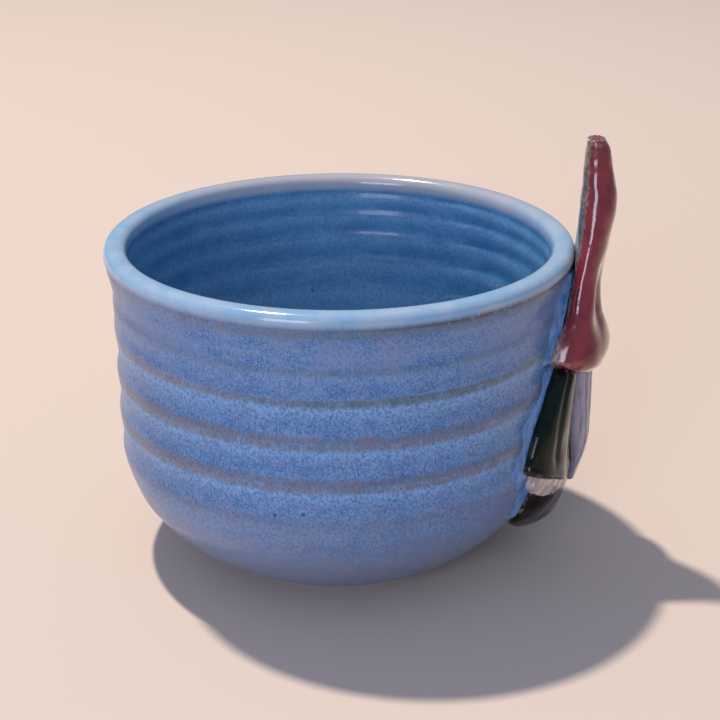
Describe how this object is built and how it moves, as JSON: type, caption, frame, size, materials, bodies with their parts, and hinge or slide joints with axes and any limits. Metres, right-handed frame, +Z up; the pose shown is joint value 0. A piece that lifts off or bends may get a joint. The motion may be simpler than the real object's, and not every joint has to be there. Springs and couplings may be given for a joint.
{
  "type": "cup with applied gnome",
  "caption": "Thrown stoneware cup with rolled lip and throwing rings; a modelled gnome with a tall pointed hat is luted to its side.",
  "frame": {"origin": "middle of the foot ring, on the table's surface", "axes": "+Z up along the cup's axis, +X towards the gnome, +Y to the gnome's left"},
  "size_m": [0.1243, 0.114, 0.107],
  "materials": {
    "blue_glaze": "satin",
    "slip_glaze": "gloss",
    "coat_glaze": "gloss",
    "beard_glaze": "satin",
    "sleeve_glaze": "gloss",
    "hand_glaze": "gloss",
    "hat_glaze": "gloss"
  },
  "bodies": {
    "root": {"cup_body": "blue_glaze", "luting_slip": "slip_glaze", "coat": "coat_glaze", "beard": "beard_glaze", "left_sleeve": "sleeve_glaze", "right_sleeve": "sleeve_glaze", "left_hand": "hand_glaze", "right_hand": "hand_glaze", "hat": "hat_glaze"}
  },
  "joints": []
}
